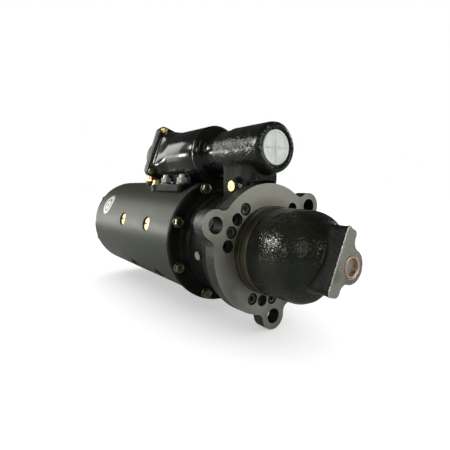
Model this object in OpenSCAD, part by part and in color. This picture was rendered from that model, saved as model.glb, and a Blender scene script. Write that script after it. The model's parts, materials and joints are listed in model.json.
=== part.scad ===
// Heavy-duty 24 V engine starter motor with a pre-engaged pinion drive.
// X runs along the motor shaft towards the nose, Z is up, and the origin is the
// centre of the nose housing's mounting face, on the shaft axis.

/* [Motor body] */
// Outer radius of the field frame
field_r = 69.9; // [69.5:0.1:69.9]
// Wall thickness of the field frame
field_wall = 10.5; // [9:0.5:12]
// Rear face of the commutator end cap (distance behind the mounting face)
rear_x = 360.4; // [350:0.2:380]
// Joint between the field frame and the lever housing (distance behind the mounting face)
joint_x = 88.5; // [87:0.5:90]
// Number of magnet poles
poles = 6; // [4:2:6]
// Direction of the first magnet pole, in degrees from +Y towards +Z
pole_phase = 45; // [0:5:60]

/* [Nose housing] */
// Distance of the mounting bolts from the shaft axis
mount_circle_r = 73.025; // [73:0.005:73.1]
// Radius of the mounting bolt holes
mount_hole_r = 8.35; // [8:0.05:8.5]
// Direction of the mounting lobe on the closed side of the nose
lobe_phase = 156; // [150:1:160]
// Radius of the pilot that centres the nose in the engine housing
pilot_r = 46.04; // [46:0.01:46.1]
// Length of the pilot
pilot_len = 7.8; // [6:0.1:8]
// Thickness of the mounting flange
flange_t = 15; // [14:0.5:16]
// Distance from the mounting face to the end face of the nose
nose_len = 99.7; // [99:0.1:104]

/* [Solenoid] */
// Height of the solenoid axis above the shaft axis
sol_z = 103.6; // [103.6:0.1:105]
// Radius of the solenoid case
sol_r = 33.6; // [33.2:0.1:33.6]
// Front face of the lever housing tube that holds the access plug
tube_front = 10; // [7:0.5:12]
// Outer radius of the lever housing tube
tube_r = 25.9; // [25:0.1:27]
// Tilt of the square terminal flange about the solenoid axis
flange_tilt = -20; // [-30:1:0]

/* [Drive] */
// Travel of the drive from rest to full mesh
drive_travel = 22.6; // [18:0.1:22.6]
// Number of pinion teeth
pinion_teeth = 12; // [11:1:13]
// Tooth module of the pinion
pinion_module = 3.5; // [3:0.1:3.6]
// Radius of the shaft in the drive
shaft_r = 11; // [10:0.1:11]

/* [Hidden] */

fit = 0.05;                       // radial clearance of a running fit
inner_r = field_r - field_wall;   // bore of the field frame
cap_plate_t = 4.4;                // visible rim of the end cap
frame_x0 = -rear_x + cap_plate_t; // rear end of the field frame
frame_x1 = -joint_x;
pole_angles = [for (i = [0:poles - 1]) pole_phase + 360 / poles * i];
pole_x = -195.5;                  // middle of the poles along the shaft
pole_screw_pitch = 81;
pole_len = 128;
air_gap_r = 45.5;                 // inner radius of the pole shoes
core_r = 44.7;
comm_x0 = -334;                   // rear end of the commutator
comm_x1 = -296;
comm_r = 33;
brush_ring_x = -340;              // front face of the brush plate
lobe_angles = [lobe_phase, lobe_phase - 120, lobe_phase + 120];
lobe_r = 14.8;
flange_r = 68.4;
screw_circle_r = 53.3;
lever_flange_r = 73.7;
lever_flange_x = -81.2;
lever_bolt_r = 66.8;              // bolt circle of the lever housing
hub_r = 58.5;                     // lever housing behind its step
hub_front_r = 55;                 // lever housing in front of its step
hub_step_x = -64;
dome_r = 44.6;
dome_arc_r = 38;                  // rounding at the end of the nose
dome_arc_x = 50;
nose_wall = 7.6;
slab_u = 20.4;                    // flat side of the end boss, from the shaft axis
slab_half = 30.5;                 // half the length of the end boss
wall_x0 = 79;                     // inner face of the nose's end wall
window_x0 = 26;                   // rear edge of the pinion window
journal_r = 7.5;                  // front journal of the shaft
bush_r = 9.3;
pivot = [-26.4, 65.5];            // lever pivot, as X and Z
lever_low = pivot[1];
lever_high = sol_z - pivot[1];
collar_mid = pivot[0] - drive_travel / 2;
half_swing = asin(drive_travel / 2 / lever_low);
plunger_travel = 2 * lever_high * sin(half_swing);
link_x = pivot[0] + plunger_travel / 2;
pad_r = 4.5;
collar_gap = 9.6;
clutch_x0 = -22;
clutch_x1 = 22;
pinion_x0 = 24;
pinion_len = 25.4;
ring_x = -93;                     // shoulder of the solenoid's front ring
plate_x = -199;                   // front face of the square terminal flange
plate_t = 4;
plate_half = 36;
plate_hole = 30;
cap_x0 = -232;
plunger_r = 14.5;
plunger_x0 = -150;
plunger_x1 = -80;
stop_x = plunger_x0 - plunger_travel;
disc_x = -206;                    // front face of the contact disc
stud_face_x = disc_x - 3 - plunger_travel - 0.1;
motor_stud = [-10, sol_z - 15];   // as Y and Z
battery_stud = [10, sol_z + 15];
bracket_y = -29;
bracket_stud_x = [-172, -128];
foot_top = 67.6;
terminal = [-258, -10];           // field terminal, as X and Y
earth_at = [-189.5, -34];         // earthing screw, as X and Y
earth_pad_z = 66.6;
strap_z = field_r + 2.2;
strap_x = cap_x0 - 10;            // rear face of the motor strap
spring_seat_x = -74;
spring_end_x = -51;

// ---------- shared shapes ----------

module xcyl(r, x0, x1, fn = 96) {
    translate([x0, 0, 0]) rotate([0, 90, 0]) cylinder(r = r, h = x1 - x0, $fn = fn);
}

module xcone(r0, r1, x0, x1, fn = 96) {
    translate([x0, 0, 0]) rotate([0, 90, 0]) cylinder(r1 = r0, r2 = r1, h = x1 - x0, $fn = fn);
}

module xring(ro, ri, x0, x1) {
    difference() {
        xcyl(ro, x0, x1);
        xcyl(ri, x0 - 1, x1 + 1);
    }
}

// Puts children at an angle from +Y towards +Z, at a distance from the X axis
module polar(a, r = 0) {
    rotate([a, 0, 0]) translate([0, r, 0]) children();
}

module on_solenoid() {
    translate([0, 0, sol_z]) children();
}

// A flat profile in the YZ plane, extruded along X
module yz_extrude(x0, x1) {
    translate([x0, 0, 0]) rotate([90, 0, 90]) linear_extrude(x1 - x0) children();
}

module rounded_square(half, r) {
    hull() {
        for (y = [-1, 1], z = [-1, 1]) {
            translate([y * (half - r), z * (half - r)]) circle(r = r, $fn = 40);
        }
    }
}

// Hexagon-head bolt along X: the head's bearing face is at x = 0, the shank points to -X.
// Shanks are drawn at the root of their thread.
module hex_bolt(af, head_h, shank_r, shank_l) {
    xcyl(af / sqrt(3), 0, head_h, 6);
    xcyl(shank_r, -shank_l, 0.01, 32);
}

module hex_nut_x(af, bore, x0, x1) {
    difference() {
        xcyl(af / sqrt(3), x0, x1, 6);
        xcyl(bore, x0 - 1, x1 + 1, 32);
    }
}

// ---------- field frame and poles ----------

module field_frame() {
    color("#5c5f5c") difference() {
        union() {
            xcyl(field_r, frame_x0, frame_x1, 160);
            translate([earth_at[0], earth_at[1], 58]) cylinder(r = 8, h = earth_pad_z - 58, $fn = 48);
        }
        xcyl(inner_r, frame_x0 - 1, frame_x1 + 1, 160);
        for (a = pole_angles, s = [-1, 1]) {
            translate([pole_x + s * pole_screw_pitch / 2, 0, 0]) polar(a, 0) rotate([-90, 0, 0]) {
                cylinder(r = 5, h = 100, $fn = 32);
                translate([0, 0, field_r - 5.5]) cylinder(r = 9.2, h = 20, $fn = 48);
            }
        }
        for (i = [0:7]) {
            polar(22.5 + 45 * i, lever_bolt_r) xcyl(2.5, frame_x1 - 18, frame_x1 + 1, 32);
        }
        for (i = [0:5]) {
            polar(21 + 60 * i, 65.3) xcyl(3, frame_x0 - 1, frame_x0 + 16, 32);
        }
        for (x = bracket_stud_x) {
            translate([x, bracket_y, 60.5]) cylinder(r = 4, h = 20, $fn = 32);
        }
        translate([terminal[0], terminal[1], 40]) cylinder(r = 9, h = 50, $fn = 48);
        translate([earth_at[0], earth_at[1], 50]) cylinder(r = 3, h = 30, $fn = 32);
    }
}

module pole_blank() {
    intersection() {
        translate([pole_x - pole_len / 2, 0, -13]) cube([pole_len, 80, 26]);
        xcyl(inner_r, pole_x - 90, pole_x + 90);
    }
    intersection() {
        difference() {
            xcyl(52, pole_x - 66, pole_x + 66);
            xcyl(air_gap_r - 1, pole_x - 70, pole_x + 70);
        }
        translate([pole_x - 66, 30, -21]) cube([132, 40, 42]);
    }
}

module pole_shoes() {
    color("#4a4a4c") for (a = pole_angles) {
        polar(a) difference() {
            pole_blank();
            xcyl(air_gap_r, pole_x - 80, pole_x + 80);
            for (s = [-1, 1]) {
                translate([pole_x + s * pole_screw_pitch / 2, 49, 0]) rotate([-90, 0, 0])
                    cylinder(r = 5, h = 30, $fn = 32);
            }
        }
    }
}

module pole_screws() {
    color("#c8a84e") for (a = pole_angles, s = [-1, 1]) {
        translate([pole_x + s * pole_screw_pitch / 2, 0, 0]) polar(a) rotate([-90, 0, 0]) difference() {
            union() {
                translate([0, 0, 50]) cylinder(r = 5, h = field_r - 55, $fn = 32);
                translate([0, 0, field_r - 5.5]) cylinder(r = 7.6, h = 3.6, $fn = 48);
            }
            translate([-10, -1, field_r - 3.7]) cube([20, 2, 5]);
        }
    }
}

module field_coils() {
    color("#8c4a26") for (a = pole_angles) {
        polar(a) intersection() {
            difference() {
                xcyl(inner_r - 0.4, pole_x - 80, pole_x + 80);
                xcyl(52.4, pole_x - 81, pole_x + 81);
            }
            difference() {
                translate([pole_x - pole_len / 2 - 11, 30, -23.5]) cube([pole_len + 22, 40, 47]);
                translate([pole_x - pole_len / 2 - 0.4, 29, -13.4]) cube([pole_len + 0.8, 42, 26.8]);
            }
        }
    }
}

// ---------- commutator end ----------

module end_cap() {
    color("#2b2d2e") difference() {
        union() {
            xcyl(field_r, -rear_x, frame_x0, 160);
            xring(inner_r - 0.1, inner_r - 6, frame_x0 - 1, frame_x0 + 8);
            xcyl(19, -rear_x, -rear_x + 18);
            for (i = [0:5]) {
                rotate([21 + 60 * i, 0, 0]) translate([-rear_x + 1, 15, -2]) cube([6, 42, 4]);
            }
        }
        xcyl(13, -rear_x + 2.5, 0);
        for (i = [0:5]) {
            polar(21 + 60 * i, 65.3) xcyl(3.2, -rear_x - 1, frame_x0 + 1, 32);
        }
    }
}

module end_cap_bolts() {
    color("#a99a5a") for (i = [0:5]) {
        polar(21 + 60 * i, 65.3) translate([-rear_x, 0, 0]) mirror([1, 0, 0]) hex_bolt(10, 4.2, 2.98, 16);
    }
}

module rear_bushing() {
    color("#b87b3c") xring(13, 10 + fit, -rear_x + 2.6, -rear_x + 18);
}

module brush_plate() {
    color("#6e5b3e") {
        difference() {
            xcyl(inner_r - 6.2, brush_ring_x - 3, brush_ring_x);
            xcyl(comm_r + 3, brush_ring_x - 4, brush_ring_x + 1);
        }
        for (i = [0:5]) {
            polar(30 + 60 * i) difference() {
                translate([brush_ring_x - 0.01, comm_r + 2.5, -8.5]) cube([34, 15, 17]);
                translate([brush_ring_x + 3, comm_r, -6.55]) cube([28, 30, 13.1]);
            }
        }
    }
}

module brushes() {
    color("#3a3a3d") for (i = [0:5]) {
        polar(30 + 60 * i) difference() {
            translate([brush_ring_x + 4, comm_r - 2, -6.5]) cube([26, 16, 13]);
            xcyl(comm_r + 0.3, comm_x0 - 10, comm_x1 + 10, 96);
        }
    }
}

module brush_springs() {
    color("#9a9da0") for (i = [0:5]) {
        polar(30 + 60 * i, comm_r + 17.5) translate([brush_ring_x + 17, 0, 0]) rotate([90, 0, 0])
            for (k = [0:2]) {
                rotate_extrude($fn = 48) translate([3 + k * 1.3, 0]) square([0.9, 2], center = true);
            }
    }
}

module label_disc() {
    color("#d9dcdc") intersection() {
        difference() {
            xcyl(field_r + 0.5, -340, -280, 160);
            xcyl(field_r, -341, -279, 160);
        }
        translate([-314, 0, 0]) polar(150, 50) rotate([-90, 0, 0]) cylinder(r = 17, h = 40, $fn = 64);
    }
}

// ---------- centre plate ----------

module centre_plate() {
    color("#6b6d70") difference() {
        union() {
            xcyl(inner_r - 0.1, -97, -joint_x);
            xcyl(22, -100, -84);
        }
        xcyl(15, -101, -83);
        for (i = [0:5]) {
            polar(60 * i, 40) xcyl(8, -101, -83, 32);
        }
    }
}

module centre_bushing() {
    color("#b87b3c") xring(15, 12 + fit, -100, -84);
}

// ---------- lever housing ----------

module web_outline() {
    offset(r = 5, $fn = 32) offset(delta = -5) polygon([
        [-57, -20], [-24, -20], [-5, -17.5], [-5, 17.5], [-24, 20], [-57, 20]
    ]);
}

module tube_profile() {
    polygon([
        [tube_r - 3, -70.4], [tube_r - 1.2, -70.4], [tube_r - 1.2, -52], [tube_r, -51],
        [tube_r, tube_front - 2], [tube_r - 2, tube_front], [tube_r - 3, tube_front]
    ]);
    translate([0, -70.4]) square([tube_r - 2.9, tube_front + 70.4]);
}

module lever_shell() {
    xcyl(lever_flange_r, -joint_x, lever_flange_x, 160);
    xcyl(hub_r, -joint_x, hub_step_x, 120);
    xcyl(hub_front_r, hub_step_x - 1, -flange_t, 120);
    xcone(hub_front_r, 66, -38, -27, 120);
    xcyl(66, -27, -flange_t, 120);
    difference() {
        linear_extrude(sol_z - 2) web_outline();
        xcyl(flange_r + 1.2, -flange_t, 30, 120);
        xcyl(hub_front_r - 1, -80, -flange_t);
    }
    on_solenoid() rotate([0, 90, 0]) rotate_extrude($fn = 96) tube_profile();
    translate([pivot[0], 0, pivot[1]]) rotate([90, 0, 0]) cylinder(r = 9, h = 57, center = true, $fn = 48);
}

module lever_housing() {
    color("#1d1f20") difference() {
        lever_shell();
        xcyl(49, -joint_x - 1, -flange_t + 1, 120);
        on_solenoid() xcyl(19.1, -72, tube_front + 1);
        on_solenoid() xcyl(20.5, tube_front - 3.4, tube_front - 1.8);
        on_solenoid() xcyl(32.5, -90, -86);
        translate([-49, -13, 20]) cube([39, 26, sol_z - 20]);
        translate([pivot[0], 0, pivot[1]]) rotate([90, 0, 0])
            cylinder(r = 5.5, h = 80, center = true, $fn = 48);
        for (i = [0:7]) {
            polar(22.5 + 45 * i, lever_bolt_r) xcyl(3.2, -joint_x - 1, lever_flange_x + 1, 32);
        }
        for (a = lobe_angles, s = [-30, 0]) {
            polar(a + s, screw_circle_r) xcyl(3, -40, -flange_t + 1, 32);
        }
        polar(187, 40) translate([-46, 0, 0]) rotate([-90, 0, 0]) cylinder(r = 3.5, h = 40, $fn = 32);
    }
}

module lever_housing_washers() {
    color("#8d8a6a") for (i = [0:7]) {
        polar(22.5 + 45 * i, lever_bolt_r) xring(6.4, 2.6, lever_flange_x, lever_flange_x + 1.2);
    }
}

module lever_housing_bolts() {
    color("#b5a562") for (i = [0:7]) {
        polar(22.5 + 45 * i, lever_bolt_r) translate([lever_flange_x + 1.2, 0, 0])
            hex_bolt(10, 4.4, 2.48, 24);
    }
}

module housing_plug() {
    color("#5d5f60") polar(187, 0) translate([-46, 0, 0]) rotate([-90, 0, 0]) {
        translate([0, 0, 50]) cylinder(r = 3.5, h = 9, $fn = 32);
        translate([0, 0, hub_front_r + 0.2]) cylinder(r = 4.6, h = 4, $fn = 32);
    }
}

module access_plug() {
    color("#cfd4d4") on_solenoid() {
        xcyl(18.95, tube_front - 8, tube_front - 3.6);
        xcyl(17.3, tube_front - 3.7, tube_front - 1.8);
        difference() {
            xcyl(17.3, tube_front - 1.9, tube_front - 0.9);
            for (a = [0:90:270]) {
                rotate([a, 0, 0]) intersection() {
                    xring(15, 4, tube_front - 2, tube_front);
                    translate([tube_front - 3, 0.9, 0.9]) cube([5, 20, 20]);
                }
            }
        }
    }
}

module snap_ring() {
    color("#3b3d3f") on_solenoid() difference() {
        xring(20.4, 17.5, tube_front - 3.3, tube_front - 1.9);
        rotate([105, 0, 0]) translate([tube_front - 5, 17, -1.5]) cube([6, 6, 3]);
    }
}

module lever_pivot() {
    color("#c9a95c") translate([pivot[0], 0, pivot[1]]) rotate([90, 0, 0])
        cylinder(r = 5.45, h = 58.4, center = true, $fn = 48);
}

// ---------- nose housing ----------

// Mounting flange: a disc with three lobes, with rounded inside corners
module flange_outline() {
    offset(r = -9) offset(delta = 9) union() {
        circle(r = flange_r, $fn = 120);
        for (a = lobe_angles) {
            rotate(a) translate([mount_circle_r, 0]) circle(r = lobe_r, $fn = 64);
            rotate(a) translate([40, -lobe_r]) square([mount_circle_r - 40, 2 * lobe_r]);
        }
    }
}

// Radius of the nose, measured at a place along X, inside or outside the wall
function nose_arc(off, n) = [
    for (i = [0:n]) [
        dome_r - dome_arc_r + (dome_arc_r - off) * cos(90 * i / n),
        dome_arc_x + (dome_arc_r - off) * sin(90 * i / n)
    ]
];

module nose_dome(off, x0) {
    rotate([0, 90, 0]) rotate_extrude($fn = 96)
        polygon(concat(
            [[0, x0], [dome_r - off, x0]],
            nose_arc(off, 12),
            [[0, dome_arc_x + dome_arc_r - off]]
        ));
}

// End boss: a bar along the closed side of the nose, with a round boss about the shaft
module slab_outline() {
    corner = 4.5;
    fillet = 7;
    rotate(lobe_phase) offset(r = -fillet, $fn = 96) offset(delta = fillet) union() {
        hull() {
            for (v = [corner - slab_half, slab_half - corner]) {
                translate([slab_u - corner, v]) circle(r = corner, $fn = 32);
                translate([slab_u - 15 + corner, v * 0.96]) circle(r = corner, $fn = 32);
            }
        }
        circle(r = 15.5, $fn = 64);
    }
}

// Opening in the nose where the pinion meets the engine's ring gear
module pinion_window(x1) {
    rotate([lobe_phase + 180, 0, 0]) translate([window_x0, 3, -60]) cube([x1 - window_x0, 80, 120]);
}

// The bar along the closed side runs back over the dome; the round boss is only at the end
module end_boss() {
    intersection() {
        yz_extrude(62, nose_len) slab_outline();
        union() {
            xcyl(43.5, wall_x0, nose_len + 1);
            rotate([lobe_phase, 0, 0]) translate([50, 4, -60]) cube([60, 60, 120]);
        }
    }
}

module nose_housing() {
    color("#2a2c2b") difference() {
        union() {
            yz_extrude(-flange_t, 0) flange_outline();
            xcyl(pilot_r, -1, pilot_len, 160);
            difference() {
                nose_dome(0, 2);
                pinion_window(nose_len + 1);
            }
            end_boss();
        }
        nose_dome(nose_wall, -flange_t - 1);
        xcyl(46, -flange_t - 1, -flange_t / 2);
        xcyl(bush_r, 70, nose_len + 1, 64);
        for (a = lobe_angles) {
            polar(a, mount_circle_r) xcyl(mount_hole_r, -flange_t - 1, 1, 48);
            for (s = [-30, -15, 0, 15]) {
                polar(a + s, screw_circle_r) {
                    xcyl(3.2, -flange_t - 1, 1, 32);
                    xcyl(6.4, -6.6, 1, 48);
                }
            }
        }
    }
}

module nose_screws() {
    color("#3a3d3e") for (a = lobe_angles, s = [-30, 0]) {
        polar(a + s, screw_circle_r) difference() {
            union() {
                xcyl(5.2, -6.5, -0.9, 48);
                xcyl(2.98, -34, -6.4, 32);
            }
            xcyl(2.9, -4.4, 0, 6);
        }
    }
}

module nose_bushing() {
    color("#c07a45") xring(bush_r, journal_r + fit, 80.8, nose_len);
}

// ---------- solenoid ----------

// The three free corners of the terminal flange; the fourth is cut back by the frame
module at_cap_screws() {
    rotate([flange_tilt, 0, 0]) for (c = [[-1, -1], [-1, 1], [1, 1]]) {
        translate([0, c[0] * plate_hole, c[1] * plate_hole]) children();
    }
}

// Room for the field frame, seen from the solenoid's axis
module frame_clearance() {
    translate([0, 0, -sol_z]) xcyl(field_r + 0.8, -260, -167, 120);
}

module solenoid_case() {
    color("#17191a") on_solenoid() difference() {
        union() {
            xcyl(sol_r, -168, ring_x - 6);
            hull() {
                xcyl(sol_r, -169, -165, 64);
                yz_extrude(plate_x, plate_x + 1) rotate(flange_tilt) rounded_square(31.5, 16);
            }
            yz_extrude(plate_x - plate_t, plate_x) rotate(flange_tilt) rounded_square(plate_half, 8);
        }
        xcyl(31.2, plate_x + 3, ring_x, 96);
        xcyl(27, plate_x - plate_t - 1, plate_x + 4, 96);
        at_cap_screws() xcyl(2.7, plate_x - 20, plate_x + 12, 24);
        frame_clearance();
    }
}

module front_ring_profile() {
    polygon([
        [14.95, ring_x - 6.4], [31, ring_x - 6.4], [31, ring_x - 6], [sol_r, ring_x - 6], [sol_r, ring_x],
        [31, ring_x + 5.5], [29.5, ring_x + 6], [23.6, ring_x + 7], [22.5, ring_x + 9], [22.5, -70.4],
        [19, -70.4], [19, -63], [16, -63], [16, spring_seat_x], [7, spring_seat_x],
        [7, spring_seat_x - 3], [14.95, spring_seat_x - 3]
    ]);
}

module solenoid_front_ring() {
    color("#141617") on_solenoid() rotate([0, 90, 0]) rotate_extrude($fn = 96) front_ring_profile();
}

module plunger_sleeve() {
    color("#b99a55") on_solenoid() xring(15.9, 14.95, -194, ring_x - 6.4);
}

module solenoid_winding() {
    color("#9c4a22") on_solenoid() xring(30.6, 16.1, -192, -101);
}

module solenoid_core() {
    color("#77797b") on_solenoid() difference() {
        union() {
            xcyl(14.9, -195.6, stop_x - 0.05);
            xcyl(26.8, -198.5, -195.5);
        }
        xcyl(4.3, -200, -150, 32);
    }
}

module cap_gasket() {
    color("#2c2a26") on_solenoid() difference() {
        yz_extrude(plate_x - plate_t - 1.2, plate_x - plate_t)
            rotate(flange_tilt) rounded_square(plate_half - 1, 8);
        xcyl(26, plate_x - 20, plate_x);
        at_cap_screws() xcyl(2.7, plate_x - 20, plate_x + 12, 24);
        frame_clearance();
    }
}

module solenoid_cap() {
    color("#1b1b1c") difference() {
        on_solenoid() union() {
            yz_extrude(plate_x - plate_t - 8, plate_x - plate_t - 1.2) rotate(flange_tilt)
                rounded_square(plate_half - 0.5, 8);
            xcyl(30, cap_x0, plate_x - plate_t - 6);
        }
        on_solenoid() xcyl(26, stud_face_x - 4, plate_x);
        on_solenoid() at_cap_screws() xcyl(2.5, plate_x - 20, plate_x, 24);
        on_solenoid() frame_clearance();
        for (s = [motor_stud, battery_stud]) {
            translate([0, s[0], s[1]]) xcyl(6, cap_x0 - 1, -200, 48);
        }
        for (s = [-1, 1]) {
            on_solenoid() translate([0, -18 * s, 13 * s]) xcyl(2.5, cap_x0 - 1, -200, 32);
        }
    }
}

module cap_screws() {
    color("#c8a84e") on_solenoid() at_cap_screws() difference() {
        union() {
            xcyl(4.3, plate_x, plate_x + 3.4, 32);
            xcyl(2.45, plate_x - 11.5, plate_x + 0.1, 24);
        }
        translate([plate_x + 2, -5, -0.6]) cube([3, 10, 1.2]);
    }
}

// Large copper studs with their contact heads inside the cap, at thread root inside the nuts
module main_terminals() {
    color("#b8683a") for (s = [motor_stud, battery_stud]) {
        translate([0, s[0], s[1]]) {
            xcyl(5.95, cap_x0 - 22, cap_x0 - 17.6, 48);
            xcyl(5.6, cap_x0 - 17.7, stud_face_x - 1, 48);
            intersection() {
                xcyl(8.6, stud_face_x - 4, stud_face_x, 6);
                translate([0, -s[0], sol_z - s[1]]) xcyl(25.6, stud_face_x - 5, 0);
            }
        }
    }
}

module switch_terminals() {
    color("#b98b4e") for (s = [-1, 1]) {
        on_solenoid() translate([0, -18 * s, 13 * s]) {
            xcyl(2.45, cap_x0 - 14, cap_x0 - 8.6, 32);
            xcyl(2.2, cap_x0 - 8.7, cap_x0 + 6, 32);
        }
    }
}

module terminal_nuts() {
    color("#c9b27a") for (s = [motor_stud, battery_stud]) {
        translate([0, s[0], s[1]]) {
            hex_nut_x(18, 6, cap_x0 - 7, cap_x0);
            hex_nut_x(18, 6, cap_x0 - 17.5, cap_x0 - 10.1);
        }
    }
}

module switch_nuts() {
    color("#c9b27a") for (s = [-1, 1], k = [0, 1]) {
        on_solenoid() translate([0, -18 * s, 13 * s])
            hex_nut_x(8, 2.5, cap_x0 - 4 - 4.5 * k, cap_x0 - 4.5 * k);
    }
}

// ---------- bracket and field terminal ----------

// Saddle between the field frame and the solenoid case, with a foot on the near side
module solenoid_bracket() {
    color("#151718") difference() {
        union() {
            translate([-166, -24, 60]) cube([44, 40, 20]);
            hull() {
                for (x = [-173, -117], y = [-38, -20]) {
                    translate([x, y, 58]) cylinder(r = 5, h = foot_top - 58, $fn = 32);
                }
            }
        }
        xcyl(field_r + 0.02, -260, -60, 160);
        on_solenoid() xcyl(sol_r + 0.02, -260, -60);
        for (x = bracket_stud_x) {
            translate([x, bracket_y, 0]) cylinder(r = 4.2, h = 100, $fn = 32);
            translate([x, bracket_y, foot_top]) cylinder(r = 9.5, h = 40, $fn = 32);
        }
    }
}

module bracket_studs() {
    color("#a9abab") for (x = bracket_stud_x) {
        translate([x, bracket_y, 61]) cylinder(r = 3.95, h = 19, $fn = 32);
    }
}

module bracket_washers() {
    color("#c8a84e") for (x = bracket_stud_x) {
        translate([x, bracket_y, foot_top]) difference() {
            cylinder(r = 7.6, h = 1.6, $fn = 48);
            translate([0, 0, -1]) cylinder(r = 4, h = 5, $fn = 32);
        }
    }
}

module bracket_nuts() {
    color("#d4d8d8") for (x = bracket_stud_x) {
        translate([x, bracket_y, foot_top + 1.6]) difference() {
            cylinder(r = 13 / sqrt(3), h = 6.8, $fn = 6);
            translate([0, 0, -1]) cylinder(r = 4, h = 10, $fn = 32);
        }
    }
}

module terminal_insulator() {
    color("#33261c") translate([terminal[0], terminal[1], 0]) difference() {
        union() {
            translate([0, 0, 60]) cylinder(r = 8.95, h = 11, $fn = 48);
            translate([0, 0, field_r + 0.2]) cylinder(r = 9.8, h = strap_z - field_r - 0.2, $fn = 48);
        }
        translate([0, 0, 50]) cylinder(r = 4, h = 30, $fn = 32);
    }
}

module field_terminal() {
    color("#c8a84e") translate([terminal[0], terminal[1], 0]) {
        translate([0, 0, 60]) cylinder(r = 3.95, h = strap_z + 9 - 60, $fn = 32);
        translate([0, 0, strap_z + 2.9]) cylinder(r = 13 / sqrt(3), h = 4.2, $fn = 6);
    }
}

// Copper strap from the motor stud down to the field terminal
module motor_strap() {
    color("#b8683a") difference() {
        union() {
            translate([terminal[0] - 7, motor_stud[0] - 10, strap_z])
                cube([strap_x + 2.9 - terminal[0] + 7, 20, 2.9]);
            translate([strap_x, motor_stud[0] - 10, strap_z]) cube([2.9, 20, motor_stud[1] - strap_z + 8.5]);
        }
        translate([terminal[0], terminal[1], 60]) cylinder(r = 4, h = 30, $fn = 32);
        translate([0, motor_stud[0], motor_stud[1]]) xcyl(6, cap_x0 - 20, cap_x0, 48);
    }
}

// Brass earthing screw on a raised pad of the field frame
module earth_screw() {
    color("#c8a84e") translate([earth_at[0], earth_at[1], 0]) {
        translate([0, 0, 56]) cylinder(r = 2.98, h = 12, $fn = 32);
        translate([0, 0, earth_pad_z]) cylinder(r = 7, h = 1.6, $fn = 48);
        translate([0, 0, earth_pad_z + 1.5]) cylinder(r = 10 / sqrt(3), h = 5, $fn = 6);
    }
}

// ---------- armature ----------

module armature_shaft() {
    color("#a8abac") {
        xcyl(10, -rear_x + 4, -330);
        xcyl(14, -330, -100.5);
        xcyl(12, -100.5, -80);
        xcyl(shaft_r, -80.1, 78);
        xcyl(journal_r, 77.9, nose_len - 2.6);
    }
}

module shaft_collar() {
    color("#8c8f90") xring(15, shaft_r, 72.8, 76.8);
}

module armature_core() {
    color("#5c5e60") difference() {
        xring(core_r, 14, -262, -130);
        for (i = [0:30]) {
            rotate([360 / 31 * i, 0, 0]) translate([-270, core_r - 7, -1.4]) cube([150, 10, 2.8]);
        }
    }
}

module armature_winding() {
    color("#a8582c") {
        difference() {
            xring(core_r - 0.8, core_r - 12, -129.9, -106);
            for (i = [0:30]) {
                rotate([360 / 31 * i, 0, 0]) translate([-131, core_r - 4, -0.7]) cube([30, 10, 1.4]);
            }
        }
        xring(core_r - 4, core_r - 14, -290, -262.1);
    }
}

module commutator() {
    color("#b86b3b") difference() {
        union() {
            xring(comm_r, 14, comm_x0, comm_x1);
            xring(comm_r + 5, 14, comm_x1 - 0.1, -291);
        }
        for (i = [0:30]) {
            rotate([360 / 31 * i, 0, 0]) translate([comm_x0 - 1, comm_r - 1.2, -0.4]) cube([39, 10, 0.8]);
        }
    }
}

// ---------- drive ----------

module clutch_shell() {
    color("#8f9294") difference() {
        union() {
            xcyl(33, clutch_x0 + 2, clutch_x1 - 1.5);
            xcone(31, 33, clutch_x0, clutch_x0 + 2);
            xcone(33, 31, clutch_x1 - 1.5, clutch_x1);
        }
        xcyl(16 + fit, -17, clutch_x1 + 1);
        xcyl(14, clutch_x0 - 1, -16);
    }
}

module drive_sleeve() {
    color("#9a9c9d") difference() {
        union() {
            xcyl(14, -52, -17.1);
            xcyl(16.6, -52, -48.2);
        }
        xcyl(shaft_r + fit, -53, -16);
    }
}

// Spring that lets the pinion meet a tooth end before it drops into mesh
module drive_spring() {
    color("#7c7f82") for (x = [-28.6, -26, -23.4]) {
        rotate([0, 90, 0]) translate([0, 0, x]) rotate_extrude($fn = 64)
            translate([17.6, 0]) circle(r = 1.2, $fn = 16);
    }
}

module shift_collar() {
    color("#8b7a4a") difference() {
        union() {
            xcyl(26, collar_mid - collar_gap / 2 - 3, collar_mid - collar_gap / 2);
            xcyl(19, collar_mid - collar_gap / 2 - 3, collar_mid + collar_gap / 2 + 3);
            xcyl(26, collar_mid + collar_gap / 2, collar_mid + collar_gap / 2 + 3);
        }
        xcyl(14 + fit, -100, 0);
    }
}

// One tooth: flanks narrow from the root to the tip
module tooth_outline(m, z) {
    root = m * z / 2 - 1.25 * m;
    tip = m * z / 2 + m;
    polygon([
        [root - 1, -1.05 * m], [m * z / 2, -0.76 * m], [tip - 0.6, -0.38 * m], [tip, -0.26 * m],
        [tip, 0.26 * m], [tip - 0.6, 0.38 * m], [m * z / 2, 0.76 * m], [root - 1, 1.05 * m]
    ]);
}

module drive_pinion() {
    color("#b3b6b7") difference() {
        union() {
            xcyl(16, -14, pinion_x0, 96);
            xcyl(pinion_module * (pinion_teeth / 2 - 1.25), pinion_x0 - 0.1, pinion_x0 + pinion_len);
            intersection() {
                yz_extrude(pinion_x0, pinion_x0 + pinion_len)
                    for (i = [0:pinion_teeth - 1]) {
                        rotate(360 / pinion_teeth * i) tooth_outline(pinion_module, pinion_teeth);
                    }
                union() {
                    xcyl(40, pinion_x0 - 1, pinion_x0 + pinion_len - 3);
                    xcone(26, 21, pinion_x0 + pinion_len - 3.01, pinion_x0 + pinion_len);
                }
            }
        }
        xcyl(shaft_r + fit, -15, 90);
    }
}

// ---------- shift lever ----------

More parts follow.
